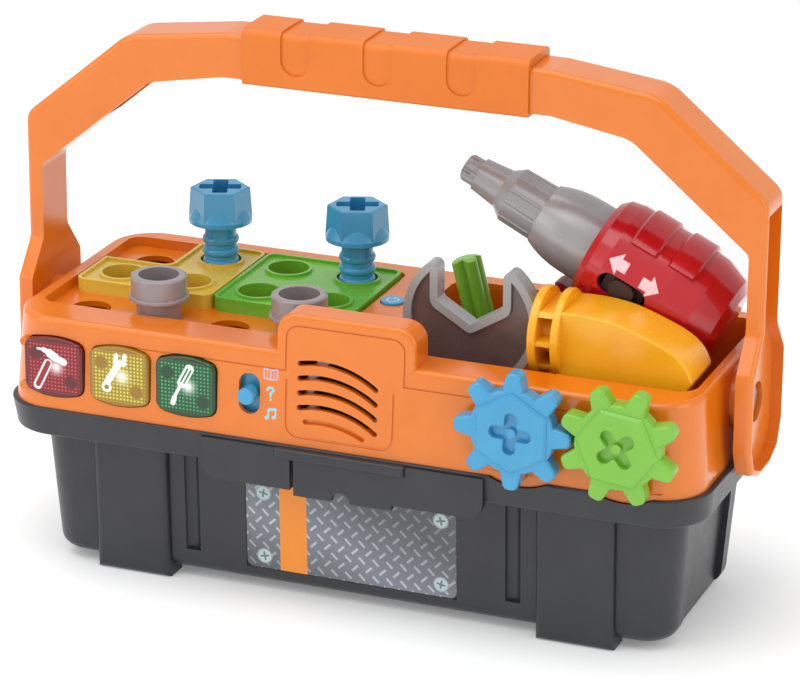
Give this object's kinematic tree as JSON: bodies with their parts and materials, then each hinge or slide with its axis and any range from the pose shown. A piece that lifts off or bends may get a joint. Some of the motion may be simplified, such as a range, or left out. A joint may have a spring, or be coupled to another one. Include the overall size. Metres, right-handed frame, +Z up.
{
  "type": "toy tool box",
  "caption": "Carry-along toy tool box: black tub, orange top with buttons, gears and peg tray, open bin with toy tools, swinging handle.",
  "frame": {"origin": "on the floor under the middle of the object's bounding box", "axes": "+X along the length to the right, the front with the buttons faces -Y, +Z up"},
  "size_m": [0.328, 0.1393, 0.2356],
  "materials": {
    "orange_plastic": "gloss",
    "grip_orange": "satin",
    "black_plastic": "satin",
    "label_print": "satin",
    "blue_plastic": "gloss",
    "green_plastic": "gloss",
    "tray_green": "gloss",
    "tray_yellow": "gloss",
    "hammer_yellow": "gloss",
    "silver_plastic": "satin",
    "drill_red": "gloss",
    "trigger_red": "gloss",
    "dark_plastic": "matte",
    "red_lens": "clear",
    "yellow_lens": "clear",
    "green_lens": "clear",
    "white_lamp": "clear",
    "board_green": "satin",
    "cell_jacket": "satin",
    "plain_steel": "satin",
    "cone_paper": "matte"
  },
  "bodies": {
    "box": {"base_tub": "black_plastic", "label_plate": "label_print", "join_screws": "plain_steel", "top_housing": "orange_plastic", "peg_tray": "orange_plastic", "tray_liner": "orange_plastic", "tool_bin": "orange_plastic", "speaker_frame": "plain_steel", "speaker_cone": "cone_paper", "speaker_magnet": "plain_steel", "circuit_board": "board_green", "lamps": "white_lamp", "button_switches": "dark_plastic", "mode_switch": "dark_plastic", "power_switch": "dark_plastic", "battery_case": "black_plastic", "battery_contacts": "plain_steel", "battery_door": "black_plastic", "door_screw": "plain_steel", "battery_1": "cell_jacket", "battery_2": "cell_jacket", "battery_3": "cell_jacket", "gear_axles": "plain_steel", "handle_pivots": "plain_steel"},
    "handle": {"handle_frame": "orange_plastic", "grip_cover": "grip_orange", "grip_base": "grip_orange"},
    "red_button": {"button_red": "red_lens"},
    "yellow_button": {"button_yellow": "yellow_lens"},
    "green_button": {"button_green": "green_lens"},
    "slider": {"mode_slider": "blue_plastic"},
    "power": {"power_button": "blue_plastic"},
    "blue_gear": {"gear_blue": "blue_plastic"},
    "green_gear": {"gear_green": "green_plastic"},
    "yellow_plate": {"plate_yellow": "tray_yellow"},
    "green_plate": {"plate_green": "tray_green"},
    "left_bolt": {"bolt_left": "blue_plastic"},
    "right_bolt": {"bolt_right": "blue_plastic"},
    "left_nail": {"nail_left": "silver_plastic"},
    "right_nail": {"nail_right": "silver_plastic"},
    "wrench_tool": {"wrench": "silver_plastic"},
    "hammer": {"hammer_head": "hammer_yellow", "hammer_handle": "drill_red"},
    "screwdriver": {"screwdriver_shaft": "green_plastic", "screwdriver_handle": "orange_plastic"},
    "drill": {"drill_shell_front": "drill_red", "drill_shell_back": "drill_red", "drill_screws": "plain_steel"},
    "chuck": {"drill_chuck": "silver_plastic", "drill_bit": "silver_plastic", "drill_spindle": "plain_steel"},
    "trigger": {"drill_trigger": "trigger_red"},
    "direction_switch": {"drill_direction_switch": "dark_plastic"}
  },
  "joints": [
    {"name": "handle_swing", "type": "hinge", "parent": "box", "child": "handle", "pos_m": [0, 0.0052, 0.099], "axis": [1, 0, 0], "range_deg": [-90, 90]},
    {"name": "red_button_press", "type": "slide", "parent": "box", "child": "red_button", "axis": [0, 1, 0], "range_m": [0, 0.002], "stiffness_N_per_m": 300, "springref_m": -0.002},
    {"name": "yellow_button_press", "type": "slide", "parent": "box", "child": "yellow_button", "axis": [0, 1, 0], "range_m": [0, 0.002], "stiffness_N_per_m": 300, "springref_m": -0.002},
    {"name": "green_button_press", "type": "slide", "parent": "box", "child": "green_button", "axis": [0, 1, 0], "range_m": [0, 0.002], "stiffness_N_per_m": 300, "springref_m": -0.002},
    {"name": "power_press", "type": "slide", "parent": "box", "child": "power", "axis": [0, 0, -1], "range_m": [0, 0.0014], "stiffness_N_per_m": 300, "springref_m": -0.002},
    {"name": "mode_slide", "type": "slide", "parent": "box", "child": "slider", "axis": [0, 0, 1], "range_m": [-0.0034, 0.0034]},
    {"name": "blue_gear_turn", "type": "hinge", "parent": "box", "child": "blue_gear", "pos_m": [0.0794, -0.0648, 0.0999], "axis": [0, -1, 0], "continuous": true},
    {"name": "green_gear_turn", "type": "hinge", "parent": "box", "child": "green_gear", "pos_m": [0.1236, -0.0648, 0.0999], "axis": [0, -1, 0], "continuous": true},
    {"name": "yellow_plate_lift", "type": "slide", "parent": "box", "child": "yellow_plate", "axis": [0, 0, 1], "range_m": [0, 0.06]},
    {"name": "green_plate_lift", "type": "slide", "parent": "box", "child": "green_plate", "axis": [0, 0, 1], "range_m": [0, 0.06]},
    {"name": "left_bolt_lift", "type": "slide", "parent": "yellow_plate", "child": "left_bolt", "axis": [0, 0, 1], "range_m": [0, 0.045]},
    {"name": "right_bolt_lift", "type": "slide", "parent": "green_plate", "child": "right_bolt", "axis": [0, 0, 1], "range_m": [0, 0.045]},
    {"name": "left_nail_lift", "type": "slide", "parent": "box", "child": "left_nail", "axis": [0, 0, 1], "range_m": [0, 0.03]},
    {"name": "right_nail_lift", "type": "slide", "parent": "box", "child": "right_nail", "axis": [0, 0, 1], "range_m": [0, 0.03]},
    {"name": "wrench_lift", "type": "slide", "parent": "box", "child": "wrench_tool", "axis": [0, -0.1219, 0.9925], "range_m": [0, 0.095]},
    {"name": "hammer_lift", "type": "slide", "parent": "box", "child": "hammer", "axis": [0, -0.1392, 0.9903], "range_m": [0, 0.096]},
    {"name": "screwdriver_lift", "type": "slide", "parent": "box", "child": "screwdriver", "axis": [-0.2538, 0, 0.9673], "range_m": [0, 0.095]},
    {"name": "drill_lift", "type": "slide", "parent": "box", "child": "drill", "axis": [0, 0.2588, 0.9659], "range_m": [0, 0.026]},
    {"name": "chuck_turn", "type": "hinge", "parent": "drill", "child": "chuck", "pos_m": [0.08415, 0.0221, 0.1506], "axis": [0.9033, 0, -0.4289], "continuous": true},
    {"name": "trigger_pull", "type": "slide", "parent": "drill", "child": "trigger", "axis": [0.9033, 0, -0.4289], "range_m": [0, 0.004], "stiffness_N_per_m": 300, "springref_m": -0.002},
    {"name": "direction_slide", "type": "slide", "parent": "drill", "child": "direction_switch", "axis": [0.9033, 0, -0.4289], "range_m": [-0.0042, 0.0042]}
  ],
  "couplings": [
    {"joint": "green_gear_turn", "follows": "blue_gear_turn", "ratio": -1}
  ]
}
